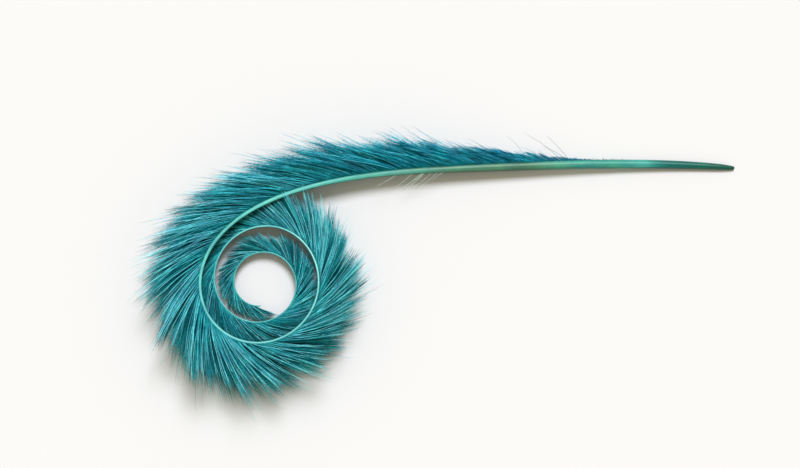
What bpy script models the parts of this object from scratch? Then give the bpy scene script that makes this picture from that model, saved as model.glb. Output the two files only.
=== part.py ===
"""A burnt pheasant tail feather, dyed teal, with its tip curled into a ring.

The feather grew in one piece: a quill, the shaft that it runs on into, and two vanes.
Burning has taken the fine hooks off the barbs, so each vane is a fringe of loose hairs
that hang together in pointed locks. The feather lies on its side. The closed end of the
quill and the ends of the lower locks touch the surface.

Metres, +Z up. +X points along the bare quill, and the ring curls towards -Y. The origin
is at the middle of the feather's box, on the surface that it rests on.
"""

import math

import bmesh
import bpy
import numpy as np
from mathutils import Vector

# The shaft's route, seen from above. Distances are along the shaft from the quill's tip.
SHAFT_LENGTH = 0.480
QUILL_TIP = (0.1171, 0.0434)
QUILL_HEADING = math.radians(175.3)
# How tightly the shaft bends, in turns of one radian a metre: nearly straight for a third
# of its length, then a ring of about 45 mm, then smaller turns inside it.
BENDS = (
    (0.000, 2.8),
    (0.100, 0.3),
    (0.150, 4.8),
    (0.180, 9.0),
    (0.205, 21.0),
    (0.230, 38.0),
    (0.260, 45.0),
    (0.290, 41.0),
    (0.315, 41.0),
    (0.335, 50.0),
    (0.360, 49.0),
    (0.400, 62.0),
    (0.440, 78.0),
    (SHAFT_LENGTH, 105.0),
)
# Height of the shaft's middle over the surface. The closed end of the quill lies on it, the
# ring stands clear of it, and the last turn passes under the stretch that comes in.
HEIGHTS = (
    (0.000, 0.00065),
    (0.006, 0.00105),
    (0.018, 0.00135),
    (0.060, 0.00320),
    (0.150, 0.00820),
    (0.210, 0.01120),
    (0.265, 0.01120),
    (0.330, 0.00740),
    (0.370, 0.00560),
    (SHAFT_LENGTH, 0.00420),
)
# Half the shaft's thickness.
HALF_THICKNESS = (
    (0.000, 0.00075),
    (0.006, 0.00120),
    (0.025, 0.00165),
    (0.055, 0.00185),
    (0.100, 0.00160),
    (0.160, 0.00108),
    (0.220, 0.00070),
    (0.260, 0.00052),
    (0.320, 0.00042),
    (SHAFT_LENGTH, 0.00024),
)

# The shaft's section: round on the bare quill, and squarer with a groove along the inner
# side of the bend where the vanes grow.
SECTION_SIDES = 10
GROOVE_START = 0.050
GROOVE_FULL = 0.085
GROOVE_DEPTH = 0.24
SQUARENESS = 0.35
# Sections stand this far apart at most, and turn by this angle at most from one to the next.
LONGEST_STEP = 0.008
MOST_TURN = math.radians(9.0)
# The quill's closed end is rounded by small sections, each a share of the end's thickness.
TIP_ROUNDING = 0.0009
TIP_SHARES = (0.35, 0.75)
ROUTE_SAMPLES = 1809

# The vanes. Each lock is a flat pointed blade, rooted along the shaft.
VANE_START = 0.062
VANE_END = 0.477
LOCKS_EACH_SIDE = 38
LOCK_LENGTH = (
    (0.060, 0.005),
    (0.075, 0.009),
    (0.090, 0.018),
    (0.112, 0.028),
    (0.150, 0.034),
    (0.200, 0.036),
    (0.240, 0.035),
    (0.270, 0.031),
    (0.300, 0.028),
    (0.340, 0.024),
    (0.400, 0.018),
    (SHAFT_LENGTH, 0.009),
)
# Angle in plan between a lock and the shaft, in degrees: it points forward and out.
LOCK_SPREAD = (
    (0.060, 32.0),
    (0.090, 28.0),
    (0.240, 27.0),
    (0.300, 23.0),
    (SHAFT_LENGTH, 21.0),
)
# Angle by which the upper vane climbs, in degrees. Its locks stand in two layers, in turn a
# higher and a lower one, which climb more and less by a share of that angle. The last turn
# tucks its barbs under the turn around it.
LAYER_SHARE = 0.25
UPPER_CLIMB = (
    (0.060, 27.0),
    (0.235, 27.0),
    (0.280, 20.0),
    (0.320, 8.0),
    (0.350, 2.0),
    (SHAFT_LENGTH, 2.0),
)
LOWER_CLIMB = -27.0
# A lock bends this much towards the feather's tip along its length.
FORWARD_BEND = math.radians(12.0)
# Share of a lock's length at which each of its sections stands, with its share of the width.
LOCK_SECTIONS = ((0.0, 0.94), (0.2, 0.94), (0.45, 0.80), (0.72, 0.48))
LOCK_THICKNESS = 0.0011
# Upper and lower locks are shifted along the shaft by this share of a lock's width.
STAGGER = 0.25
# A lower lock comes down at a steady slope, and levels out over the last of its height.
LEVELLING_HEIGHT = 0.0012
FLOOR_PRESS = 0.0002
PATH_STEPS = 20
# A lock is rooted this share of half the shaft's thickness above or below its middle, and
# is no thicker there than this share of the shaft.
ROOT_SHIFT = 0.45
THIN_ROOT = 0.75


def profile(points, at):
    """Reads a smooth curve through the points, with no overshoot between them."""
    x, y = np.array(points, float).T
    step = np.diff(x)
    slope = np.diff(y) / step
    grade = np.zeros(len(x))
    same = slope[:-1] * slope[1:] > 0
    grade[1:-1][same] = (2 * slope[:-1] * slope[1:])[same] / (slope[:-1] + slope[1:])[same]
    grade[0], grade[-1] = slope[0], slope[-1]
    at = np.clip(np.asarray(at, float), x[0], x[-1])
    span = np.clip(np.searchsorted(x, at, side="right") - 1, 0, len(step) - 1)
    t = (at - x[span]) / step[span]
    return (
        y[span] * (1 + 2 * t) * (1 - t) ** 2
        + grade[span] * step[span] * t * (1 - t) ** 2
        + y[span + 1] * t**2 * (3 - 2 * t)
        + grade[span + 1] * step[span] * t**2 * (t - 1)
    )


def shaft_route():
    """Distances along the shaft, its middle line and its heading at each of them."""
    along = np.linspace(0.0, SHAFT_LENGTH, ROUTE_SAMPLES)
    step = np.diff(along)
    bend = profile(BENDS, along)
    heading = QUILL_HEADING + np.r_[0.0, np.cumsum((bend[1:] + bend[:-1]) / 2 * step)]
    middle = (heading[1:] + heading[:-1]) / 2
    x = QUILL_TIP[0] + np.r_[0.0, np.cumsum(np.cos(middle) * step)]
    y = QUILL_TIP[1] + np.r_[0.0, np.cumsum(np.sin(middle) * step)]
    return along, np.column_stack([x, y, profile(HEIGHTS, along)]), heading


ROUTE = shaft_route()


def shaft_frame(distance):
    """The shaft's middle, the way to its tip and the way out of the bend, at a distance."""
    along, line, heading = ROUTE
    middle = Vector([float(np.interp(distance, along, line[:, i])) for i in range(3)])
    angle = float(np.interp(distance, along, heading))
    forward = Vector((math.cos(angle), math.sin(angle), 0.0))
    outward = Vector((math.sin(angle), -math.cos(angle), 0.0))
    return middle, forward, outward


def loft(name, rings, point=None):
    """A closed mesh through rings of points, ending in one point or in a flat cap."""
    mesh = bmesh.new()
    loops = [[mesh.verts.new(corner) for corner in ring] for ring in rings]
    sides = len(loops[0])
    for first, second in zip(loops, loops[1:]):
        for i in range(sides):
            j = (i + 1) % sides
            mesh.faces.new((first[i], first[j], second[j], second[i]))
    mesh.faces.new(reversed(loops[0]))
    if point is None:
        mesh.faces.new(loops[-1])
    else:
        end = mesh.verts.new(point)
        for i in range(sides):
            mesh.faces.new((loops[-1][i], loops[-1][(i + 1) % sides], end))
    bmesh.ops.recalc_face_normals(mesh, faces=mesh.faces[:])
    data = bpy.data.meshes.new(name)
    mesh.to_mesh(data)
    mesh.free()
    return data


def section_point(angle, half, grooved):
    """One corner of the shaft's section: (out of the bend, up), from the middle."""
    across, up = math.cos(angle), math.sin(angle)
    square = 1.0 / max(abs(across), abs(up))
    reach = half * (1.0 + SQUARENESS * grooved * (square - 1.0))
    if math.isclose(angle, math.pi):
        reach *= 1.0 - GROOVE_DEPTH * grooved
    return across * reach, up * reach


def ring_distances():
    """Where the shaft's sections stand: closer together where it bends more."""
    distances = [0.0]
    while distances[-1] < SHAFT_LENGTH:
        bend = float(profile(BENDS, distances[-1]))
        distances.append(distances[-1] + min(LONGEST_STEP, MOST_TURN / bend))
    stretch = SHAFT_LENGTH / distances[-1]
    return [distance * stretch for distance in distances]


def shaft_mesh():
    """The quill and the shaft that it runs on into, as one tapering rod."""
    rings = []
    middle, forward, outward = shaft_frame(0.0)
    for share in TIP_SHARES:
        back = forward * (-TIP_ROUNDING * (1.0 - share))
        half = share * float(profile(HALF_THICKNESS, 0.0))
        rings.append(shaft_ring(middle + back, outward, half, 0.0))
    for distance in ring_distances():
        middle, _, outward = shaft_frame(distance)
        grooved = (distance - GROOVE_START) / (GROOVE_FULL - GROOVE_START)
        grooved = min(max(grooved, 0.0), 1.0)
        half = float(profile(HALF_THICKNESS, distance))
        rings.append(shaft_ring(middle, outward, half, grooved))
    return loft("feather", rings)


def shaft_ring(middle, outward, half, grooved):
    """The corners of one section of the shaft, kept off the surface that it lies on."""
    corners = []
    for i in range(SECTION_SIDES):
        across, up = section_point(math.tau * i / SECTION_SIDES, half, grooved)
        corner = middle + outward * across + Vector((0.0, 0.0, up))
        corner.z = max(corner.z, 0.0)
        corners.append(corner)
    return corners


def barb_line(root, forward, outward, length, spread, rise, floor):
    """The line that a barb takes from its root, as points at equal steps.

    rise is the sine of its climb. One that starts downwards levels out on the floor.
    """
    points = [root.copy()]
    step = length / PATH_STEPS
    for i in range(PATH_STEPS):
        share = (i + 0.5) / PATH_STEPS
        if rise < 0:
            clear = max(points[-1].z - floor, 0.0)
            slope = rise * min(1.0, clear / LEVELLING_HEIGHT)
        else:
            slope = rise
        plan = math.sqrt(1.0 - slope * slope)
        angle = spread - FORWARD_BEND * share
        way = (forward * math.cos(angle) + outward * math.sin(angle)) * plan
        way.z = slope
        points.append(points[-1] + way * step)
    return points


def lock_mesh(name, distance, climb, side, spacing):
    """One lock of barbs, a flat blade rooted along the shaft and drawn out to a point."""
    middle, forward, outward = shaft_frame(distance)
    half_shaft = float(profile(HALF_THICKNESS, distance))
    root = middle + Vector((0.0, 0.0, side * ROOT_SHIFT * half_shaft))
    length = float(profile(LOCK_LENGTH, distance))
    spread = math.radians(float(profile(LOCK_SPREAD, distance)))
    half_width = spacing / 2
    half_thick = min(LOCK_THICKNESS / 2, THIN_ROOT * half_shaft)
    rise = math.sin(math.radians(climb))
    floor = half_thick - FLOOR_PRESS
    line = barb_line(root, forward, outward, length, spread, rise, floor)
    rings = []
    for share, width in LOCK_SECTIONS:
        i = round(share * PATH_STEPS)
        way = line[i + 1] - line[max(i - 1, 0)]
        up = way.cross(forward).normalized()
        across = forward * half_width * width
        thick = up * half_thick
        ring = [line[i] + across, line[i] + thick, line[i] - across, line[i] - thick]
        for corner in ring:
            corner.z = max(corner.z, 0.0)
        rings.append(ring)
    return loft(name, rings, line[-1])


def dyed_material(name, colour, roughness):
    """A plain dyed finish."""
    material = bpy.data.materials.new(name)
    material.use_nodes = True
    shader = material.node_tree.nodes["Principled BSDF"]
    shader.inputs["Base Color"].default_value = (*colour, 1.0)
    shader.inputs["Roughness"].default_value = roughness
    shader.inputs["Metallic"].default_value = 0.0
    return material


def clear_scene():
    """Removes the objects of the scene that the script is run in."""
    for item in list(bpy.data.objects):
        bpy.data.objects.remove(item, do_unlink=True)


def upper_climb(distance, number):
    """Climb of an upper lock in degrees: every other one stands in the higher layer."""
    layer = 1.0 + LAYER_SHARE if number % 2 else 1.0 - LAYER_SHARE
    return float(profile(UPPER_CLIMB, distance)) * layer


def make_locks(collection, material):
    """Both vanes, as separate blades that the shaft is then joined to."""
    spacing = (VANE_END - VANE_START) / LOCKS_EACH_SIDE
    for side, vane in ((1, "upper"), (-1, "lower")):
        for i in range(LOCKS_EACH_SIDE):
            distance = VANE_START + spacing * (i + 0.5 + STAGGER * side)
            climb = upper_climb(distance, i) if side > 0 else LOWER_CLIMB
            name = f"lock_{vane}_{i + 1:02d}"
            blade = lock_mesh(name, distance, climb, side, spacing)
            lock = bpy.data.objects.new(name, blade)
            lock.data.materials.append(material)
            lock.hide_render = True
            lock.display_type = "WIRE"
            collection.objects.link(lock)


def make_feather():
    """The shaft with both vanes joined to it, as one solid."""
    clear_scene()
    quill_finish = dyed_material("quill_mint", (0.12, 0.50, 0.39), 0.35)
    barb_finish = dyed_material("barb_teal", (0.02, 0.23, 0.28), 0.55)
    scene = bpy.context.scene
    feather = bpy.data.objects.new("feather", shaft_mesh())
    feather.data.materials.append(quill_finish)
    scene.collection.objects.link(feather)
    locks = bpy.data.collections.new("locks")
    locks.hide_render = True
    scene.collection.children.link(locks)
    make_locks(locks, barb_finish)
    join = feather.modifiers.new("join_locks", "BOOLEAN")
    join.operation = "UNION"
    join.solver = "EXACT"
    join.operand_type = "COLLECTION"
    join.collection = locks
    join.material_mode = "TRANSFER"
    return feather


make_feather()
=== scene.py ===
import math
from collections import namedtuple

import bpy
import numpy as np
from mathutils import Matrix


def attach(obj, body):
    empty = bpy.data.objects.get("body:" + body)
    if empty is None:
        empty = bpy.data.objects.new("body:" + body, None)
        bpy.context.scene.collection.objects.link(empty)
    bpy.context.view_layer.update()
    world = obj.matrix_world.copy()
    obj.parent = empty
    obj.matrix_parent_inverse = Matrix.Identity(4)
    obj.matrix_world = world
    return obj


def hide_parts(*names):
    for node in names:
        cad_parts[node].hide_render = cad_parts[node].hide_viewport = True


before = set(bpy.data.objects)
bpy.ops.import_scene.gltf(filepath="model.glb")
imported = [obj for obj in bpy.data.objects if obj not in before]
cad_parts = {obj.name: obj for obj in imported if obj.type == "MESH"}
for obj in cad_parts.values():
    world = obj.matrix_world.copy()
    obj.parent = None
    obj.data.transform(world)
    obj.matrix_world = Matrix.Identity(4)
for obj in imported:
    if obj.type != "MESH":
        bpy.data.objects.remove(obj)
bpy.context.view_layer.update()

# Quill and shaft
# One horn rod. Its root end is a see-through tube, dyed dark green, with a small hole where it
# sat in the skin. It runs on into a solid pale mint shaft, grooved along the inner side of the
# bend, and heat has curled its far end into a ring and a smaller turn inside it.
SHAFT_LENGTH = 0.480
QUILL_TIP = (0.1171, 0.0434)
QUILL_HEADING = math.radians(175.3)

# Pairs of a distance along the shaft, in metres, and the bend there, in radians a metre.
BENDS = (
    (0.000, 2.8),
    (0.100, 0.3),
    (0.150, 4.8),
    (0.180, 9.0),
    (0.205, 21.0),
    (0.230, 38.0),
    (0.260, 45.0),
    (0.290, 41.0),
    (0.315, 41.0),
    (0.335, 50.0),
    (0.360, 49.0),
    (0.400, 62.0),
    (0.440, 78.0),
    (SHAFT_LENGTH, 105.0),
)

# Heights of the shaft's middle. The quill lies on the table, and the lower barbs carry the ring.
HEIGHTS = (
    (0.000, 0.00065),
    (0.006, 0.00105),
    (0.018, 0.00135),
    (0.060, 0.00320),
    (0.150, 0.00820),
    (0.210, 0.01120),
    (0.265, 0.01120),
    (0.330, 0.00740),
    (0.370, 0.00560),
    (SHAFT_LENGTH, 0.00420),
)
HALF_THICKNESS = (
    (0.000, 0.00075),
    (0.006, 0.00120),
    (0.025, 0.00165),
    (0.055, 0.00185),
    (0.100, 0.00160),
    (0.160, 0.00108),
    (0.220, 0.00070),
    (0.260, 0.00052),
    (0.320, 0.00042),
    (SHAFT_LENGTH, 0.00024),
)
ROUTE_SAMPLES = 1809
GROOVE_START = 0.050
GROOVE_FULL = 0.085
GROOVE_DEPTH = 0.30
GROOVE_HALF_ANGLE = math.radians(34.0)
SQUARENESS = 0.35
ROD_SIDES = 28
ROD_STEP = 0.00107
END_STEPS = (0.00008, 0.00016, 0.00026, 0.00034, 0.00042)
END_ROUNDING = 0.0012
END_WIDTH = 0.55
END_HOLE_INSET = 0.45
END_HOLE_DEPTH = 0.0016
END_HOLE_TAPER = 0.4


def profile(points, at):
    """Reads a smooth curve through the points, with no overshoot between them."""
    x, y = np.array(points, float).T
    step = np.diff(x)
    slope = np.diff(y) / step
    grade = np.zeros(len(x))
    same = slope[:-1] * slope[1:] > 0
    grade[1:-1][same] = (2 * slope[:-1] * slope[1:])[same] / (slope[:-1] + slope[1:])[same]
    grade[0], grade[-1] = slope[0], slope[-1]
    at = np.clip(np.asarray(at, float), x[0], x[-1])
    span = np.clip(np.searchsorted(x, at, side="right") - 1, 0, len(step) - 1)
    t = (at - x[span]) / step[span]
    return (
        y[span] * (1 + 2 * t) * (1 - t) ** 2
        + grade[span] * step[span] * t * (1 - t) ** 2
        + y[span + 1] * t**2 * (3 - 2 * t)
        + grade[span + 1] * step[span] * t**2 * (t - 1)
    )


def shaft_route():
    """Distances along the shaft, its middle line and its heading at each of them."""
    along = np.linspace(0.0, SHAFT_LENGTH, ROUTE_SAMPLES)
    step = np.diff(along)
    bend = profile(BENDS, along)
    heading = QUILL_HEADING + np.r_[0.0, np.cumsum((bend[1:] + bend[:-1]) / 2 * step)]
    middle = (heading[1:] + heading[:-1]) / 2
    x = QUILL_TIP[0] + np.r_[0.0, np.cumsum(np.cos(middle) * step)]
    y = QUILL_TIP[1] + np.r_[0.0, np.cumsum(np.sin(middle) * step)]
    return along, np.column_stack([x, y, profile(HEIGHTS, along)]), heading


ROUTE = shaft_route()


def shaft_frames(distances):
    """The shaft's middle, the way to its tip and the way out of the bend, at each distance."""
    along, line, heading = ROUTE
    middle = np.column_stack([np.interp(distances, along, line[:, i]) for i in range(3)])
    angle = np.interp(distances, along, heading)
    flat = np.zeros_like(angle)
    forward = np.column_stack([np.cos(angle), np.sin(angle), flat])
    outward = np.column_stack([np.sin(angle), -np.cos(angle), flat])
    return middle, forward, outward


def look_at_only(piece):
    """Makes a piece the only selected object and the active one."""
    bpy.ops.object.select_all(action="DESELECT")
    piece.select_set(True)
    bpy.context.view_layer.objects.active = piece


def straight_rod():
    """A straight rod along +X with a ring of corners at every step and a hole in its root end."""
    bpy.ops.object.select_all(action="DESELECT")
    bpy.ops.mesh.primitive_circle_add(
        vertices=ROD_SIDES, radius=1.0, fill_type="NGON", rotation=(0.0, math.pi / 2, 0.0)
    )
    rod = bpy.context.object
    bpy.ops.object.transform_apply(location=False, rotation=True, scale=True)
    bpy.ops.object.mode_set(mode="EDIT")
    bpy.ops.mesh.select_all(action="SELECT")
    count = round((SHAFT_LENGTH - sum(END_STEPS)) / ROD_STEP)
    even_step = (SHAFT_LENGTH - sum(END_STEPS)) / count
    for step in END_STEPS + (even_step,) * count:
        bpy.ops.mesh.extrude_region_move(TRANSFORM_OT_translate={"value": (step, 0.0, 0.0)})
    bpy.ops.mesh.select_mode(type="FACE")
    bpy.ops.mesh.select_all(action="DESELECT")
    bpy.ops.object.mode_set(mode="OBJECT")
    for face in rod.data.polygons:
        face.select = face.center.x < END_STEPS[0] / 4
    bpy.ops.object.mode_set(mode="EDIT")
    bpy.ops.mesh.inset(thickness=END_HOLE_INSET, depth=0.0)
    bpy.ops.mesh.extrude_region_move(TRANSFORM_OT_translate={"value": (END_HOLE_DEPTH, 0.0, 0.0)})
    bpy.ops.transform.resize(value=(1.0, END_HOLE_TAPER, END_HOLE_TAPER))
    bpy.ops.mesh.select_all(action="SELECT")
    bpy.ops.mesh.normals_make_consistent(inside=False)
    bpy.ops.object.mode_set(mode="OBJECT")
    return rod


def corners_of(piece):
    """The corners of a piece's mesh, one row each."""
    corners = np.empty(len(piece.data.vertices) * 3)
    piece.data.vertices.foreach_get("co", corners)
    return corners.reshape(-1, 3)


def shape_rod(rod):
    """Gives the rod its taper, its round closed end, its squarer middle and its groove."""
    corners = corners_of(rod)
    distance = np.clip(corners[:, 0], 0.0, SHAFT_LENGTH)
    angle = np.arctan2(corners[:, 2], corners[:, 1])
    half = profile(HALF_THICKNESS, distance)
    round_end = np.clip(distance / END_ROUNDING, 0.0, 1.0)
    half = half * (END_WIDTH + (1.0 - END_WIDTH) * np.sqrt(1.0 - (1.0 - round_end) ** 2))
    grooved = np.clip((distance - GROOVE_START) / (GROOVE_FULL - GROOVE_START), 0.0, 1.0)
    square = 1.0 / np.maximum(np.abs(np.cos(angle)), np.abs(np.sin(angle)))
    reach = half * (1.0 + SQUARENESS * grooved * (square - 1.0))
    in_groove = np.clip(1.0 - (np.abs(angle) / GROOVE_HALF_ANGLE) ** 2, 0.0, 1.0)
    reach *= 1.0 - GROOVE_DEPTH * grooved * in_groove
    reach *= np.minimum(np.hypot(corners[:, 1], corners[:, 2]), 1.0)
    corners[:, 0] = distance
    corners[:, 1] = np.cos(angle) * reach
    corners[:, 2] = np.sin(angle) * reach
    rod.data.vertices.foreach_set("co", corners.ravel())
    place = rod.data.attributes.new("rod_place", "FLOAT_VECTOR", "POINT")
    place.data.foreach_set("vector", corners.ravel())
    crest = rod.data.attributes.new("crest", "FLOAT", "POINT")
    crest.data.foreach_set("value", np.sin(angle))
    rod.data.update()


def lay_on_route(piece):
    """Bends a piece that is straight along +X so that it follows the shaft's route."""
    corners = corners_of(piece)
    middle, _, outward = shaft_frames(corners[:, 0])
    laid = middle - outward * corners[:, 1:2]
    laid[:, 2] = np.maximum(laid[:, 2] + corners[:, 2], 0.0)
    piece.data.vertices.foreach_set("co", laid.ravel())
    piece.data.update()


shaft = straight_rod()
shaft.name = "shaft"
shape_rod(shaft)
lay_on_route(shaft)
look_at_only(shaft)
bpy.ops.object.shade_smooth()


def new_material(name, roughness, specular):
    """A material with its Principled shader, ready for a colour."""
    material = bpy.data.materials.new(name)
    material.use_nodes = True
    shader = material.node_tree.nodes["Principled BSDF"]
    shader.inputs["Roughness"].default_value = roughness
    shader.inputs["Specular IOR Level"].default_value = specular
    return material, material.node_tree, shader


def read_attribute(tree, name):
    """A node that reads one of the piece's own attributes."""
    node = tree.nodes.new("ShaderNodeAttribute")
    node.attribute_type = "GEOMETRY"
    node.attribute_name = name
    return node


def colour_ramp(tree, value, stops):
    """A ramp of colours that a value runs through."""
    node = tree.nodes.new("ShaderNodeValToRGB")
    tree.links.new(value, node.inputs["Fac"])
    ramp = node.color_ramp
    while len(ramp.elements) > 1:
        ramp.elements.remove(ramp.elements[-1])
    ramp.elements[0].position = stops[0][0]
    ramp.elements[0].color = (*stops[0][1], 1.0)
    for place, colour in stops[1:]:
        element = ramp.elements.new(place)
        element.color = (*colour, 1.0)
    return node.outputs["Color"]


def calculate(tree, operation, first, second, third=0.0):
    """One step of arithmetic in a material. Each of its terms is a number or a socket."""
    node = tree.nodes.new("ShaderNodeMath")
    node.operation = operation
    for socket, term in zip(node.inputs, (first, second, third)):
        if isinstance(term, bpy.types.NodeSocket):
            tree.links.new(term, socket)
        else:
            socket.default_value = term
    return node.outputs["Value"]


def carry_range(tree, value, given, wanted):
    """Carries a value from the given range to the wanted one, and holds it at both ends."""
    node = tree.nodes.new("ShaderNodeMapRange")
    node.inputs["From Min"].default_value = given[0]
    node.inputs["From Max"].default_value = given[1]
    node.inputs["To Min"].default_value = wanted[0]
    node.inputs["To Max"].default_value = wanted[1]
    tree.links.new(value, node.inputs["Value"])
    return node.outputs["Result"]


def stretched_noise(tree, place, stretch, detail):
    """Noise drawn out along the shaft, for streaks in horn."""
    mapping = tree.nodes.new("ShaderNodeMapping")
    mapping.inputs["Scale"].default_value = stretch
    tree.links.new(place, mapping.inputs["Vector"])
    noise = tree.nodes.new("ShaderNodeTexNoise")
    noise.inputs["Scale"].default_value = 1.0
    noise.inputs["Detail"].default_value = detail
    tree.links.new(mapping.outputs["Vector"], noise.inputs["Vector"])
    return noise.outputs["Fac"]


def mix_colours(tree, blend, factor, first, second):
    """Mixes two colours. The factor and the second colour are values or sockets."""
    node = tree.nodes.new("ShaderNodeMix")
    node.data_type = "RGBA"
    node.blend_type = blend
    tree.links.new(first, node.inputs["A"])
    for term, name in ((factor, "Factor"), (second, "B")):
        if isinstance(term, bpy.types.NodeSocket):
            tree.links.new(term, node.inputs[name])
        else:
            node.inputs[name].default_value = term
    return node.outputs["Result"]


DYE_NOISE_DETAIL = 3.0
DYE_NOISE_ROUGHNESS = 0.6
DYE_NOISE_RANGE = (0.3, 0.7)
DYE_HUE_SHIFT = -0.05
DYE_VALUE_SHIFT = 0.6


def dye_group():
    """Uneven dye: a colour made a little lighter, darker and bluer in patches and streaks."""
    group = bpy.data.node_groups.new("uneven_dye", "ShaderNodeTree")
    group.interface.new_socket("Colour", in_out="INPUT", socket_type="NodeSocketColor")
    group.interface.new_socket("Place", in_out="INPUT", socket_type="NodeSocketVector")
    group.interface.new_socket("Patch scale", in_out="INPUT", socket_type="NodeSocketFloat")
    group.interface.new_socket("Amount", in_out="INPUT", socket_type="NodeSocketFloat")
    group.interface.new_socket("Colour", in_out="OUTPUT", socket_type="NodeSocketColor")
    given = group.nodes.new("NodeGroupInput")
    result = group.nodes.new("NodeGroupOutput")
    patches = group.nodes.new("ShaderNodeTexNoise")
    patches.inputs["Detail"].default_value = DYE_NOISE_DETAIL
    patches.inputs["Roughness"].default_value = DYE_NOISE_ROUGHNESS
    group.links.new(given.outputs["Place"], patches.inputs["Vector"])
    group.links.new(given.outputs["Patch scale"], patches.inputs["Scale"])
    spread = carry_range(group, patches.outputs["Fac"], DYE_NOISE_RANGE, (-1.0, 1.0))
    strength = calculate(group, "MULTIPLY", spread, given.outputs["Amount"])
    hue = calculate(group, "MULTIPLY_ADD", strength, DYE_HUE_SHIFT, 0.5)
    value = calculate(group, "MULTIPLY_ADD", strength, DYE_VALUE_SHIFT, 1.0)
    shift = group.nodes.new("ShaderNodeHueSaturation")
    group.links.new(hue, shift.inputs["Hue"])
    group.links.new(value, shift.inputs["Value"])
    group.links.new(given.outputs["Colour"], shift.inputs["Color"])
    group.links.new(shift.outputs["Color"], result.inputs["Colour"])
    return group


UNEVEN_DYE = dye_group()


def add_uneven_dye(tree, colour, place, patch_scale, amount):
    """Places the uneven dye group in a material and gives its colour."""
    node = tree.nodes.new("ShaderNodeGroup")
    node.node_tree = UNEVEN_DYE
    tree.links.new(colour, node.inputs["Colour"])
    tree.links.new(place, node.inputs["Place"])
    node.inputs["Patch scale"].default_value = patch_scale
    node.inputs["Amount"].default_value = amount
    return node.outputs["Colour"]


# Colours along the horn, from the dark root end to the curl, at distances in metres. The pale
# stops on the curl are partly the dye and partly a painted highlight.
HORN_DYE_AND_HIGHLIGHT_COLOURS = (
    (0.000, (0.004, 0.130, 0.075)),
    (0.012, (0.003, 0.175, 0.130)),
    (0.026, (0.003, 0.200, 0.170)),
    (0.030, (0.012, 0.300, 0.260)),
    (0.036, (0.090, 0.580, 0.470)),
    (0.060, (0.065, 0.470, 0.350)),
    (0.084, (0.105, 0.300, 0.170)),
    (0.115, (0.110, 0.330, 0.210)),
    (0.150, (0.110, 0.600, 0.480)),
    (0.200, (0.190, 0.860, 0.780)),
    (0.275, (0.300, 0.950, 0.920)),
    (0.325, (0.290, 0.940, 0.920)),
    (0.365, (0.170, 0.800, 0.800)),
    (SHAFT_LENGTH, (0.070, 0.620, 0.620)),
)
HORN_ROUGHNESS = 0.40
HORN_SPECULAR = 0.24
HORN_COAT = 0.20
HORN_COAT_ROUGHNESS = 0.28
HORN_PATCH_SCALE = 120.0
HORN_DYE_AMOUNT = 0.30
EDGE_WANDER = 0.020
EDGE_LEAN = 2.2
EDGE_TONGUE = 0.014
LAYER_TONES = ((0.36, (0.50, 0.62, 0.60)), (0.62, (1.0, 1.0, 1.0)))
LAYER_AMOUNT = 0.8
BLOT_AMOUNTS = ((0.60, (0.0, 0.0, 0.0)), (0.72, (0.5, 0.5, 0.5)))
BLOT_COLOUR = (0.010, 0.230, 0.330, 1.0)
STREAK_TONES = ((0.3, (0.50, 0.60, 0.58)), (0.7, (1.0, 1.0, 1.0)))
STREAK_AMOUNT = 0.45
STREAK_BUMP = 0.35
STREAK_DEPTH = 0.00006
# Painted shade and highlight: these tones darken the rod's sides and keep its top pale, as if lit
# from above.
PAINTED_SIDE_SHADE_TONES = ((0.25, (0.32, 0.42, 0.44)), (0.75, (1.0, 1.0, 1.0)))
PAINTED_SIDE_SHADE_AMOUNT = 0.85

# Painted shade darkens the shaft's sides and leaves a pale painted highlight along its top. That
# highlight ridge gets narrower over this stretch of the shaft.
HIGHLIGHT_RIDGE_STRETCH = (0.150, 0.240)
HIGHLIGHT_RIDGE_NARROWING = 0.20

# Noise in the horn: its scales along, across and up the shaft, and its detail.
EDGE_NOISE = ((40.0, 420.0, 420.0), 2.0)
LAYER_NOISE = ((26.0, 1100.0, 1100.0), 3.0)
BLOT_NOISE = ((55.0, 500.0, 500.0), 4.0)
STREAK_NOISE = ((60.0, 2600.0, 2600.0), 3.0)


def horn_share(tree, place, crest):
    """The share of the shaft's length, with an uneven edge where one colour meets the next."""
    split = tree.nodes.new("ShaderNodeSeparateXYZ")
    tree.links.new(place, split.inputs["Vector"])
    share = calculate(tree, "DIVIDE", split.outputs["X"], SHAFT_LENGTH)
    wander = stretched_noise(tree, place, *EDGE_NOISE)
    uneven = calculate(tree, "MULTIPLY_ADD", wander, EDGE_WANDER, -EDGE_WANDER / 2)
    lean = calculate(tree, "MULTIPLY", split.outputs["Y"], EDGE_LEAN)
    tongue = calculate(tree, "MULTIPLY_ADD", crest, EDGE_TONGUE, -EDGE_TONGUE)
    edge = calculate(tree, "ADD", calculate(tree, "ADD", share, uneven), lean)
    return share, calculate(tree, "ADD", edge, tongue)


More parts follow.
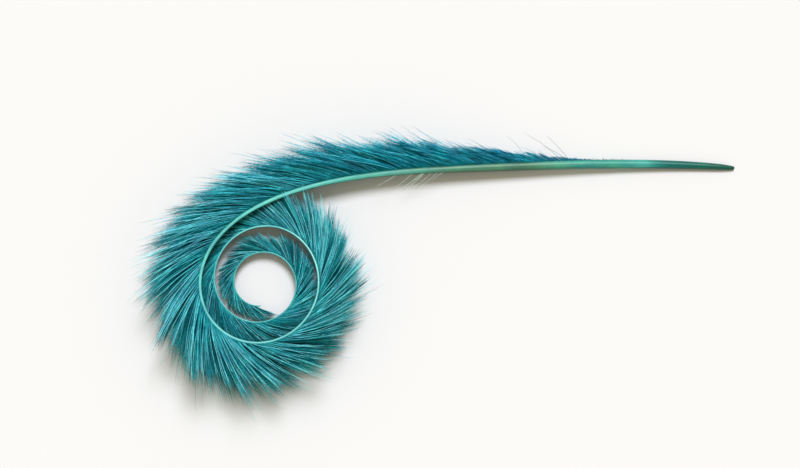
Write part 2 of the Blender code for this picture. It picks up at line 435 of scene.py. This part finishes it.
def horn_material():
    """Dyed horn: dark green at the root, mint along the stem, and bright at the curl, partly as a
    painted highlight. Painted shade darkens its sides.
    """
    material, tree, shader = new_material("dyed_horn", HORN_ROUGHNESS, HORN_SPECULAR)
    shader.inputs["Coat Weight"].default_value = HORN_COAT
    shader.inputs["Coat Roughness"].default_value = HORN_COAT_ROUGHNESS
    place = read_attribute(tree, "rod_place").outputs["Vector"]
    crest = read_attribute(tree, "crest").outputs["Fac"]
    share, edge = horn_share(tree, place, crest)
    stops = [(distance / SHAFT_LENGTH, colour) for distance, colour in HORN_DYE_AND_HIGHLIGHT_COLOURS]
    colour = colour_ramp(tree, edge, stops)
    colour = add_uneven_dye(tree, colour, place, HORN_PATCH_SCALE, HORN_DYE_AMOUNT)

    layers = colour_ramp(tree, stretched_noise(tree, place, *LAYER_NOISE), LAYER_TONES)
    colour = mix_colours(tree, "MULTIPLY", LAYER_AMOUNT, colour, layers)
    blots = colour_ramp(tree, stretched_noise(tree, place, *BLOT_NOISE), BLOT_AMOUNTS)
    colour = mix_colours(tree, "MIX", blots, colour, BLOT_COLOUR)
    streaks = stretched_noise(tree, place, *STREAK_NOISE)
    streak_tones = colour_ramp(tree, streaks, STREAK_TONES)
    colour = mix_colours(tree, "MULTIPLY", STREAK_AMOUNT, colour, streak_tones)

    # Painted shade on the shaft's sides, with a painted highlight along its top that narrows
    # towards the curl.
    highlight_ridge_range = [distance / SHAFT_LENGTH for distance in HIGHLIGHT_RIDGE_STRETCH]
    highlight_narrowing = carry_range(tree, share, highlight_ridge_range, (0.0, -HIGHLIGHT_RIDGE_NARROWING))
    painted_highlight_ridge = calculate(tree, "ADD", crest, highlight_narrowing)
    sides = colour_ramp(tree, painted_highlight_ridge, PAINTED_SIDE_SHADE_TONES)
    colour = mix_colours(tree, "MULTIPLY", PAINTED_SIDE_SHADE_AMOUNT, colour, sides)
    tree.links.new(colour, shader.inputs["Base Color"])

    bump = tree.nodes.new("ShaderNodeBump")
    bump.inputs["Strength"].default_value = STREAK_BUMP
    bump.inputs["Distance"].default_value = STREAK_DEPTH
    tree.links.new(streaks, bump.inputs["Height"])
    tree.links.new(bump.outputs["Normal"], shader.inputs["Normal"])
    return material


shaft.data.materials.clear()
shaft.data.materials.append(horn_material())
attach(shaft, "root")

# Barbs of both vanes
# Each side of the shaft grows hundreds of fine hairs. Burning took off the hooks that zip them
# into a flat vane, so they cling in thin strands, the strands gather in loose pointed wisps,
# and all of them lean away from the curl.
VANE_START = 0.0565
VANE_END = 0.4785
BARBS_PER_PIECE = 4900
BARB_POINTS = 8
BARB_SIDES = 3
BARB_DENSITY = (
    (0.056, 0.90),
    (0.100, 0.90),
    (0.200, 1.10),
    (0.280, 1.30),
    (0.350, 1.10),
    (SHAFT_LENGTH, 0.75),
)
BARB_LENGTH = (
    (0.056, 0.0012),
    (0.066, 0.0045),
    (0.075, 0.0090),
    (0.090, 0.0185),
    (0.112, 0.0285),
    (0.150, 0.0345),
    (0.200, 0.0365),
    (0.240, 0.0355),
    (0.270, 0.0315),
    (0.300, 0.0285),
    (0.340, 0.0240),
    (0.400, 0.0180),
    (SHAFT_LENGTH, 0.0095),
)

# Angles in degrees. A barb's spread is its angle to the shaft, seen from above, and its climb is
# its angle to the table.
BARB_SPREAD = (
    (0.056, 44.0),
    (0.070, 34.0),
    (0.090, 30.0),
    (0.240, 27.0),
    (0.300, 24.0),
    (SHAFT_LENGTH, 22.0),
)
UPPER_CLIMB = (
    (0.060, 24.0),
    (0.090, 27.0),
    (0.235, 27.0),
    (0.280, 20.0),
    (0.320, 8.0),
    (0.350, 2.0),
    (SHAFT_LENGTH, 2.0),
)
LOWER_CLIMB = -27.0
FORWARD_BEND = 14.0
UPPER_DROOP = 8.0
SWAY = math.radians(2.6)
SWAY_AT_ROOT = 0.3
SWAY_WAVES = (0.8, 2.2)
LEVELLING_HEIGHT = 0.0016
ROOT_OUT = 0.55
ROOT_UP = 0.50


def barb_lines(distance, side, length, spread, climb, lowest, rng):
    """Lines from the shaft to the barbs' tips: an array of barb, point and coordinate."""
    middle, forward, outward = shaft_frames(distance)
    half = profile(HALF_THICKNESS, distance)[:, None]
    up = np.array([0.0, 0.0, 1.0])
    across = outward * half * ROOT_OUT * np.sign(spread)[:, None]
    point = middle + across + up * half * ROOT_UP * side
    lines = [point]
    phase = rng.uniform(0.0, math.tau, (2, len(distance)))
    waves = rng.uniform(*SWAY_WAVES, (2, len(distance)))
    for i in range(BARB_POINTS - 1):
        share = (i + 0.5) / (BARB_POINTS - 1)
        sway = np.sin(math.tau * waves * share + phase) * (SWAY_AT_ROOT + share) * SWAY
        angle = np.radians(spread - FORWARD_BEND * share * np.sign(spread)) + sway[0]
        rise = np.radians(climb - UPPER_DROOP * share * (side > 0)) + sway[1]
        if side < 0:
            clear = np.maximum(point[:, 2] - lowest, 0.0) / LEVELLING_HEIGHT
            rise = rise * np.minimum(clear, 1.0)
        flat = np.cos(rise)[:, None]
        way = (forward * np.cos(angle)[:, None] + outward * np.sin(angle)[:, None]) * flat
        way = way + up * np.sin(rise)[:, None]
        point = point + way * (length / (BARB_POINTS - 1))[:, None]
        lines.append(point)
    return np.stack(lines, axis=1)


def uneven_places(gap, rng):
    """Roots of wisps or strands along the vane, at uneven gaps."""
    places = [VANE_START]
    while places[-1] < VANE_END:
        places.append(places[-1] + rng.uniform(*gap))
    return np.array(places)


def barb_roots(count, rng):
    """Roots of the barbs, closer together where the shaft carries more of them."""
    along = np.linspace(VANE_START, VANE_END, ROUTE_SAMPLES)
    grown = np.cumsum(profile(BARB_DENSITY, along))
    return np.interp(np.sort(rng.uniform(grown[0], grown[-1], count)), grown, along)


ROOT_PULL = 0.2
TIP_RELEASE = 0.70
TIP_RELEASE_POWER = 2.5


def gather(lines, lengths, clumps, own, hold, start):
    """Draws lines towards the clumps that own them, from a share of their length onwards."""
    share = np.linspace(0.0, 1.0, BARB_POINTS)
    reach = np.minimum(lengths / clumps.length[own], 1.0)
    place = share[None, :] * reach[:, None] * (BARB_POINTS - 1)
    low = np.clip(place.astype(int), 0, BARB_POINTS - 2)
    part = (place - low)[:, :, None]
    rows = own[:, None]
    guided = clumps.lines[rows, low] * (1.0 - part) + clumps.lines[rows, low + 1] * part
    guided = guided + (lines[:, :1] - clumps.lines[own][:, :1]) * ROOT_PULL
    cling = np.clip(share / start, 0.0, 1.0)
    cling = cling * cling * (3.0 - 2.0 * cling) * (1.0 - TIP_RELEASE * share**TIP_RELEASE_POWER)
    pull = hold[:, None] * cling[None, :]
    return lines + (guided - lines) * pull[:, :, None]


# Wisps and the strands in them. Their jitters are in degrees, and their lengths are shares of a
# barb's length. Unevenness is least at the foot of the vane and full on the curl.
Clumps = namedtuple("Clumps", "places lines length spread climb lowest shade")
UNEVENNESS = ((0.056, 0.22), (0.150, 0.42), (0.230, 1.00), (SHAFT_LENGTH, 1.00))
WISP_GAP = (0.0030, 0.0090)
WISP_SPREAD_JITTER = 2.2
WISP_CLIMB_JITTER = 1.6
WISP_LIFT = 0.15
WISP_SINK = 0.50
WISP_LENGTHS = (0.93, 1.05)
WISP_LOWEST = (0.0002, 0.0030)
STRAND_GAP = (0.0009, 0.0024)
STRAND_SPREAD_JITTER = 2.6
STRAND_CLIMB_JITTER = 1.6
STRAND_SINK = 0.6
STRAND_SINK_POWER = 1.5
STRAND_LENGTHS = (0.84, 1.07)
STRAND_STACKING = 0.0008
STRAND_OWN_SHADE = 0.75
STRAND_CLING = 1.2


def vane_wisps(side, rng):
    """The loose pointed wisps of one vane."""
    places = uneven_places(WISP_GAP, rng)
    number = len(places)
    uneven = profile(UNEVENNESS, places)
    upright = profile(UPPER_CLIMB, places) if side > 0 else np.full(number, LOWER_CLIMB)
    spread = profile(BARB_SPREAD, places) + rng.normal(0.0, WISP_SPREAD_JITTER, number) * uneven
    sink = WISP_LIFT - WISP_SINK * rng.uniform(0.0, 1.0, number)
    climb = upright * (1.0 + sink * uneven)
    climb += rng.normal(0.0, WISP_CLIMB_JITTER, number) * uneven
    length = profile(BARB_LENGTH, places) * rng.uniform(*WISP_LENGTHS, number)
    lowest = rng.uniform(*WISP_LOWEST, number)
    shade = rng.uniform(0.0, 1.0, number)
    lines = barb_lines(places, side, length, spread, climb, lowest, rng)
    return Clumps(places, lines, length, spread, climb, lowest, shade)


def vane_strands(side, wisps, wisp_hold, rng):
    """The thin strands of one vane, drawn together in its wisps."""
    places = uneven_places(STRAND_GAP, rng)
    number = len(places)
    own = np.abs(places[:, None] - wisps.places[None, :]).argmin(axis=1)
    spread = wisps.spread[own] + rng.normal(0.0, STRAND_SPREAD_JITTER, number)
    sink = STRAND_SINK * rng.uniform(0.0, 1.0, number) ** STRAND_SINK_POWER
    climb = wisps.climb[own] * (1.0 - sink)
    climb += rng.normal(0.0, STRAND_CLIMB_JITTER, number)
    length = profile(BARB_LENGTH, places) * rng.uniform(*STRAND_LENGTHS, number)
    lowest = wisps.lowest[own] + rng.uniform(0.0, STRAND_STACKING, number)
    shade = (1.0 - STRAND_OWN_SHADE) * wisps.shade[own]
    shade += STRAND_OWN_SHADE * rng.uniform(0.0, 1.0, number)
    lines = barb_lines(places, side, length, spread, climb, lowest, rng)
    hold = rng.uniform(*wisp_hold, number) * profile(UNEVENNESS, places)
    lines = gather(lines, length, wisps, own, hold, STRAND_CLING)
    return Clumps(places, lines, length, spread, climb, lowest, shade)


# Single barbs. Some of them, evenly chosen, are top barbs: stouter, hardly held by their strands,
# and painted paler as the lit barbs lying on top of the vane.
UPPER_HOLDS = ((0.00, 0.22), (0.30, 0.95))
LOWER_HOLDS = ((0.00, 0.15), (0.00, 0.30))
BARB_SPREAD_JITTER = 2.8
BARB_CLIMB_JITTER = 2.4
SHORTEST_BARB = 0.74
LONGEST_BARB = 1.02
BARB_STACKING = 0.0006
BARB_CLING = 0.35
STRAND_THICKNESS = 0.00006
SHADE_OF_STRAND = 0.35
SHADE_OF_BARB = 0.38
STEM_SHADE = 0.60
TOP_EVERY = 12
TOP_SPREAD = 1.6
TOP_CLIMB_GAIN = 0.20
TOP_CLIMB_JITTER = 2.2
LOWER_TOP_CLIMB = 0.6
LONGEST_TOP_BARB = 1.16
TOP_LOWEST = 0.0034
TOP_LOWEST_RANGE = (0.6, 1.1)
TOP_HOLD = 0.1
TOP_LIT_SHADES = (0.58, 1.0)
TOP_RADIUS = 1.65
ROOT_RADIUS = 0.000105
TIP_RADIUS = 0.000030


def vane_lines(side, wisp_hold, strand_hold, rng):
    """The barbs of one vane: lines, their roots' distances, shades and thickness."""
    strands = vane_strands(side, vane_wisps(side, rng), wisp_hold, rng)
    roots = barb_roots(2 * BARBS_PER_PIECE, rng)
    number = len(roots)
    own = np.abs(roots[:, None] - strands.places[None, :]).argmin(axis=1)
    top = np.arange(number) % TOP_EVERY == 0
    uneven = profile(UNEVENNESS, roots)
    wild = 1.0 + TOP_SPREAD * top * rng.uniform(0.0, 1.0, number) ** 2
    spread = strands.spread[own] + rng.normal(0.0, BARB_SPREAD_JITTER, number) * wild
    climb = strands.climb[own] + rng.normal(0.0, BARB_CLIMB_JITTER, number)
    lower_top = np.full(number, LOWER_TOP_CLIMB * LOWER_CLIMB)
    highest = profile(UPPER_CLIMB, roots) if side > 0 else lower_top
    highest = highest * (1.0 + TOP_CLIMB_GAIN * uneven)
    highest += rng.normal(0.0, TOP_CLIMB_JITTER, number) * uneven
    climb = np.where(top, highest, climb)
    longest = np.where(top, LONGEST_TOP_BARB, LONGEST_BARB)
    length = strands.length[own] * rng.uniform(SHORTEST_BARB, longest)
    lowest = strands.lowest[own] + rng.uniform(0.0, BARB_STACKING, number)
    lowest = np.where(top, TOP_LOWEST * rng.uniform(*TOP_LOWEST_RANGE, number), lowest)
    lines = barb_lines(roots, side, length, spread, climb, lowest, rng)
    hold = rng.uniform(*strand_hold, number) * np.where(top, TOP_HOLD, 1.0)
    lines = gather(lines, length, strands, own, hold, BARB_CLING)
    share = np.linspace(0.0, 1.0, BARB_POINTS)[None, :, None]
    lines = lines + rng.normal(0.0, STRAND_THICKNESS, (number, 1, 3)) * np.sqrt(share)
    lines[:, :, 2] = np.maximum(lines[:, :, 2], ROOT_RADIUS)
    shade = SHADE_OF_STRAND * strands.shade[own] + SHADE_OF_BARB * rng.uniform(0.0, 1.0, number)
    # Painted light: top barbs are made paler as the lit barbs lying on top.
    shade = np.where(top, rng.uniform(*TOP_LIT_SHADES, number), shade)
    shade = STEM_SHADE + (shade - STEM_SHADE) * uneven
    return lines, roots, shade, np.where(top, TOP_RADIUS, 1.0)


FULL_THICKNESS_LENGTH = 0.012
THINNEST = 0.55
ROOT_RADII = (0.70, 1.10)
TAPER = 0.48
NO_LENGTH = 1e-12


def hair_radii(lines, stout, rng):
    """Thickness along each hair: even for a while, then fine towards the tip."""
    length = np.linalg.norm(np.diff(lines, axis=1), axis=2).sum(axis=1)
    share = np.linspace(0.0, 1.0, BARB_POINTS)[None, :]
    root = (ROOT_RADIUS * rng.uniform(*ROOT_RADII, len(lines)) * stout)[:, None]
    thin = np.clip(length / FULL_THICKNESS_LENGTH, THINNEST, 1.0)[:, None]
    return TIP_RADIUS + (root * thin - TIP_RADIUS) * (1.0 - share) ** TAPER


def hair_faces(rings):
    """The faces of one hair, as numbers of its corners: sides, pointed tip and root cap."""
    faces = []
    for ring in range(rings - 1):
        for i in range(BARB_SIDES):
            j = (i + 1) % BARB_SIDES
            first, second = ring * BARB_SIDES, (ring + 1) * BARB_SIDES
            faces.append((first + i, first + j, second + j, second + i))
    last = (rings - 1) * BARB_SIDES
    for i in range(BARB_SIDES):
        faces.append((last + i, last + (i + 1) % BARB_SIDES, rings * BARB_SIDES))
    faces.append(tuple(reversed(range(BARB_SIDES))))
    return faces


def hair_mesh(name, lines, radii, values):
    """Joins tapered hairs in one mesh. values are numbers for each hair, by attribute name."""
    count, points, _ = lines.shape
    tangent = np.gradient(lines, axis=1)
    tangent /= np.linalg.norm(tangent, axis=2, keepdims=True) + NO_LENGTH
    across = np.cross(tangent, np.array([0.0, 0.0, 1.0]))
    across /= np.linalg.norm(across, axis=2, keepdims=True) + NO_LENGTH
    over = np.cross(tangent, across)
    turns = math.tau * np.arange(BARB_SIDES) / BARB_SIDES
    body = lines[:, :-1, None, :] + radii[:, :-1, None, None] * (
        across[:, :-1, None, :] * np.cos(turns)[None, None, :, None]
        + over[:, :-1, None, :] * np.sin(turns)[None, None, :, None]
    )
    corners = np.concatenate([body.reshape(count, -1, 3), lines[:, -1:, :]], axis=1)
    per_hair = (points - 1) * BARB_SIDES + 1
    faces = hair_faces(points - 1)
    one = np.concatenate([np.array(face) for face in faces])
    loops = (one[None, :] + (np.arange(count) * per_hair)[:, None]).ravel()
    sizes = np.tile([len(face) for face in faces], count)
    mesh = bpy.data.meshes.new(name)
    mesh.vertices.add(count * per_hair)
    mesh.vertices.foreach_set("co", corners.ravel())
    mesh.loops.add(len(loops))
    mesh.loops.foreach_set("vertex_index", loops)
    mesh.polygons.add(len(sizes))
    mesh.polygons.foreach_set("loop_start", np.r_[0, np.cumsum(sizes)[:-1]])
    mesh.update(calc_edges=True)
    mesh.validate()
    share = np.repeat(np.linspace(0.0, 1.0, points)[:-1], BARB_SIDES)
    layer = mesh.attributes.new("hair_share", "FLOAT", "POINT")
    layer.data.foreach_set("value", np.tile(np.r_[share, 1.0], count))
    for title, numbers in values.items():
        layer = mesh.attributes.new(title, "FLOAT", "POINT")
        layer.data.foreach_set("value", np.repeat(numbers, per_hair))
    piece = bpy.data.objects.new(name, mesh)
    bpy.context.scene.collection.objects.link(piece)
    look_at_only(piece)
    bpy.ops.object.shade_smooth()
    return piece


# Colours of the dyed hair along the shaft, and how bright a hair is from its root to its tip:
# painted shade darkens the roots, most of all on the lower vane under the upper one, and painted
# light brightens the outer part of each hair.
VANE_COLOURS = (
    (0.060, (0.003, 0.360, 0.580)),
    (0.120, (0.009, 0.590, 0.790)),
    (0.190, (0.013, 0.590, 0.720)),
    (0.260, (0.011, 0.510, 0.590)),
    (0.360, (0.014, 0.520, 0.595)),
    (SHAFT_LENGTH, (0.012, 0.440, 0.505)),
)
UPPER_ROOT_SHADE_TIP_LIGHT = ((0.0, 0.36), (0.15, 0.44), (0.65, 0.52), (0.85, 0.86), (1.0, 0.50))
LOWER_ROOT_SHADE_TIP_LIGHT = ((0.0, 0.14), (0.4, 0.24), (0.7, 0.62), (1.0, 1.0))
UPPER_LIFTS = (0.24, 3.90)
LOWER_LIFTS = (0.40, 4.00)
BARB_ROUGHNESS = 0.42
BARB_SPECULAR = 0.20
BARB_SHEEN_TINT = (0.35, 1.0, 1.0, 1.0)
COARSE_PATCH_SCALE = 160.0
COARSE_DYE_AMOUNT = 0.30
FINE_PATCH_SCALE = 1400.0
FINE_DYE_AMOUNT = 0.35
SHADE_POWER = 1.8
# Along the stem the painted light at the hair tips is taken down again, so the tips there are
# darker.
STEM_TIP_FADE = (0.160, 0.240)
STEM_TIP_DARKNESS = 0.50
STEM_TIP_POWER = 3.0
# Painted sheen: above this strength the brightest hairs are made paler and less saturated.
PAINTED_SHEEN_FROM = 0.70
BRIGHTEST = 1.70
PAINTED_SHEEN_SATURATION = 0.76


def barb_material(name, stops, lifts, root_shade_tip_light):
    """Dyed hair: blue at the foot of the vane, teal along it, each strand lighter or darker, with
    painted shade at the roots, painted light towards the tips and a paler painted sheen on the
    brightest hairs.
    """
    material, tree, shader = new_material(name, BARB_ROUGHNESS, BARB_SPECULAR)
    shader.inputs["Specular Tint"].default_value = BARB_SHEEN_TINT
    along = read_attribute(tree, "along").outputs["Fac"]
    shade = read_attribute(tree, "shade").outputs["Fac"]
    share = read_attribute(tree, "hair_share").outputs["Fac"]
    colour = colour_ramp(tree, along, [(place / SHAFT_LENGTH, tone) for place, tone in stops])
    position = tree.nodes.new("ShaderNodeTexCoord").outputs["Object"]
    colour = add_uneven_dye(tree, colour, position, COARSE_PATCH_SCALE, COARSE_DYE_AMOUNT)
    colour = add_uneven_dye(tree, colour, position, FINE_PATCH_SCALE, FINE_DYE_AMOUNT)

    steep = calculate(tree, "POWER", shade, SHADE_POWER)
    lift = calculate(tree, "MULTIPLY_ADD", steep, lifts[1] - lifts[0], lifts[0])
    # Painted shade at each hair's root and painted light towards its tip, dimmed again at the tips
    # along the stem.
    painted_root_shade_tip_light = colour_ramp(tree, share, [(place, (tone, tone, tone)) for place, tone in root_shade_tip_light])
    strength = calculate(tree, "MULTIPLY", lift, painted_root_shade_tip_light)
    stem_range = [distance / SHAFT_LENGTH for distance in STEM_TIP_FADE]
    stem = carry_range(tree, along, stem_range, (-STEM_TIP_DARKNESS, 0.0))
    outer = calculate(tree, "POWER", share, STEM_TIP_POWER)
    dimming = calculate(tree, "MULTIPLY_ADD", outer, stem, 1.0)
    strength = calculate(tree, "MULTIPLY", strength, dimming)
    strength = calculate(tree, "MINIMUM", strength, BRIGHTEST)
    # Painted sheen: the brightest hairs lose saturation as if reflecting white light.
    saturation = carry_range(tree, strength, (PAINTED_SHEEN_FROM, BRIGHTEST), (1.0, PAINTED_SHEEN_SATURATION))
    bright = tree.nodes.new("ShaderNodeHueSaturation")
    tree.links.new(strength, bright.inputs["Value"])
    tree.links.new(saturation, bright.inputs["Saturation"])
    tree.links.new(colour, bright.inputs["Color"])
    tree.links.new(bright.outputs["Color"], shader.inputs["Base Color"])
    return material


# The lower vane's material is a shaded copy of the upper one: its roots get deeper painted shade.
UPPER_FINISH = barb_material("dyed_barbs_upper_painted_light", VANE_COLOURS, UPPER_LIFTS, UPPER_ROOT_SHADE_TIP_LIGHT)
LOWER_FINISH = barb_material("dyed_barbs_lower_painted_light", VANE_COLOURS, LOWER_LIFTS, LOWER_ROOT_SHADE_TIP_LIGHT)
UPPER_SEED = 11
LOWER_SEED = 23
for vane, side, holds, finish, seed in (
    ("upper", 1, UPPER_HOLDS, UPPER_FINISH, UPPER_SEED),
    ("lower", -1, LOWER_HOLDS, LOWER_FINISH, LOWER_SEED),
):
    draw = np.random.default_rng(seed)
    vane_hairs, vane_roots, vane_shades, vane_stoutness = vane_lines(side, *holds, draw)
    vane_radii = hair_radii(vane_hairs, vane_stoutness, draw)
    for stretch, rows in (
        ("stem", slice(None, BARBS_PER_PIECE)),
        ("curl", slice(BARBS_PER_PIECE, None)),
    ):
        vane_piece = hair_mesh(
            f"barbs_{vane}_{stretch}",
            vane_hairs[rows],
            vane_radii[rows],
            {"along": vane_roots[rows] / SHAFT_LENGTH, "shade": vane_shades[rows]},
        )
        vane_piece.data.materials.append(finish)
        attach(vane_piece, "root")
        if (vane, stretch) == ("upper", "stem"):
            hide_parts("feather")

# Stray hairs
# The fire missed a few long barbs, which stand off the vane. Short pale ones point back along
# the inner side of the bend, and singed stubble is left on the quill below the vane.
StrayKind = namedtuple("StrayKind", "count stretch lengths spreads climbs")
STRAY_KINDS = (
    # Long hairs near the foot of the vane
    StrayKind(12, (0.062, 0.125), (0.012, 0.025), (36.0, 60.0), (4.0, 24.0)),
    # Short ones along the top of the arch
    StrayKind(44, (0.100, 0.210), (0.022, 0.0285), (34.0, 52.0), (4.0, 24.0)),
    # The fringe round the outside of the curl
    StrayKind(40, (0.130, 0.290), (0.032, 0.039), (22.0, 38.0), (4.0, 24.0)),
    # Stubble
    StrayKind(110, (0.044, 0.062), (0.0006, 0.0020), (25.0, 70.0), (-20.0, 40.0)),
)
STRAY_SEED = 37
STRAY_STOUTNESS = 0.8
STRAY_SHADES = (0.0, 0.5)
PALE_KIND = StrayKind(7, (0.116, 0.140), (0.006, 0.012), (-44.0, -30.0), (-4.0, 10.0))
PALE_STOUTNESS = 1.2
PALE_SHADES = (0.4, 0.8)
PALE_COLOURS = ((0.060, (0.62, 0.80, 0.66)), (SHAFT_LENGTH, (0.62, 0.80, 0.66)))
PALE_LIFTS = (2.0, 3.0)


def stray_lines(kind, rng):
    """Hairs of one kind that grow singly, and where they grow."""
    distance = np.sort(rng.uniform(*kind.stretch, kind.count))
    lines = barb_lines(
        distance,
        1,
        rng.uniform(*kind.lengths, kind.count),
        rng.uniform(*kind.spreads, kind.count),
        rng.uniform(*kind.climbs, kind.count),
        np.zeros(kind.count),
        rng,
    )
    lines[:, :, 2] = np.maximum(lines[:, :, 2], ROOT_RADIUS)
    return lines, distance


def stray_piece(name, kinds, stoutness, shades, finish, rng):
    """One piece with the single hairs of the given kinds."""
    groups = [stray_lines(kind, rng) for kind in kinds]
    hairs = np.concatenate([lines for lines, _ in groups])
    places = np.concatenate([distance for _, distance in groups])
    radii = hair_radii(hairs, stoutness, rng)
    values = {"along": places / SHAFT_LENGTH, "shade": rng.uniform(*shades, len(places))}
    piece = hair_mesh(name, hairs, radii, values)
    piece.data.materials.append(finish)
    return piece


PALE_FINISH = barb_material("pale_barbs", PALE_COLOURS, PALE_LIFTS, UPPER_ROOT_SHADE_TIP_LIGHT)
draw = np.random.default_rng(STRAY_SEED)
strays = stray_piece("stray_barbs", STRAY_KINDS, STRAY_STOUTNESS, STRAY_SHADES, UPPER_FINISH, draw)
pale = stray_piece("pale_barbs", [PALE_KIND], PALE_STOUTNESS, PALE_SHADES, PALE_FINISH, draw)
for piece in (strays, pale):
    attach(piece, "root")

# Floor, light and camera
# The photo was taken from above on a white table, in daylight that comes from the far side, so
# the shadow falls towards the viewer. The room fills it with warm light.
FLOOR_SIZE = 6.0
FLOOR_GAP = 0.0002
FLOOR_COLOUR = (0.87, 0.87, 0.87, 1.0)
FLOOR_ROUGHNESS = 0.85
FLOOR_SPECULAR = 0.2
bpy.ops.object.select_all(action="DESELECT")
bpy.ops.mesh.primitive_plane_add(size=FLOOR_SIZE, location=(0.0, 0.0, -FLOOR_GAP))
floor = bpy.context.object
floor.name = "floor"
floor_material, _, floor_shader = new_material("white_table", FLOOR_ROUGHNESS, FLOOR_SPECULAR)
floor_shader.inputs["Base Color"].default_value = FLOOR_COLOUR
floor.data.materials.append(floor_material)

ROOM_COLOUR = (1.0, 0.91, 0.68, 1.0)
ROOM_STRENGTH = 0.47
DAYLIGHT_COLOUR = (0.86, 0.89, 0.99)
DAYLIGHT_STRENGTH = 2.70
DAYLIGHT_ANGLE = math.radians(24.0)
DAYLIGHT_HEIGHT = math.radians(63.0)
DAYLIGHT_TURN = math.radians(-12.0)

world = bpy.data.worlds.new("soft_room")
bpy.context.scene.world = world
world.use_nodes = True
world.node_tree.nodes["Background"].inputs["Color"].default_value = ROOM_COLOUR
world.node_tree.nodes["Background"].inputs["Strength"].default_value = ROOM_STRENGTH

daylight_data = bpy.data.lights.new("daylight", "SUN")
daylight_data.energy = DAYLIGHT_STRENGTH
daylight_data.angle = DAYLIGHT_ANGLE
daylight_data.color = DAYLIGHT_COLOUR
daylight = bpy.data.objects.new("daylight", daylight_data)
bpy.context.scene.collection.objects.link(daylight)
daylight.rotation_euler = (-(math.pi / 2 - DAYLIGHT_HEIGHT), 0.0, DAYLIGHT_TURN)

# The camera stands where one pixel of the photo is 0.4 mm on the table.
PIXEL = 0.0004
PHOTO_WIDTH = 800
PHOTO_MIDDLE = (400.0, 234.0)
QUILL_TIP_PIXEL = (736.0, 167.1)
LENS = 85.0
SENSOR = 36.0
ELEVATION = math.radians(80.0)
target_x = QUILL_TIP[0] + (PHOTO_MIDDLE[0] - QUILL_TIP_PIXEL[0]) * PIXEL
target_y = QUILL_TIP[1] + (QUILL_TIP_PIXEL[1] - PHOTO_MIDDLE[1]) * PIXEL
camera_distance = PHOTO_WIDTH * PIXEL * LENS / SENSOR
camera_data = bpy.data.cameras.new("camera")
camera_data.lens = LENS
camera_data.sensor_width = SENSOR
camera = bpy.data.objects.new("camera", camera_data)
bpy.context.scene.collection.objects.link(camera)
camera.location = (
    target_x,
    target_y - math.cos(ELEVATION) * camera_distance,
    math.sin(ELEVATION) * camera_distance,
)
camera.rotation_euler = (math.pi / 2 - ELEVATION, 0.0, 0.0)
bpy.context.scene.camera = camera
bpy.context.scene.view_settings.view_transform = "Standard"
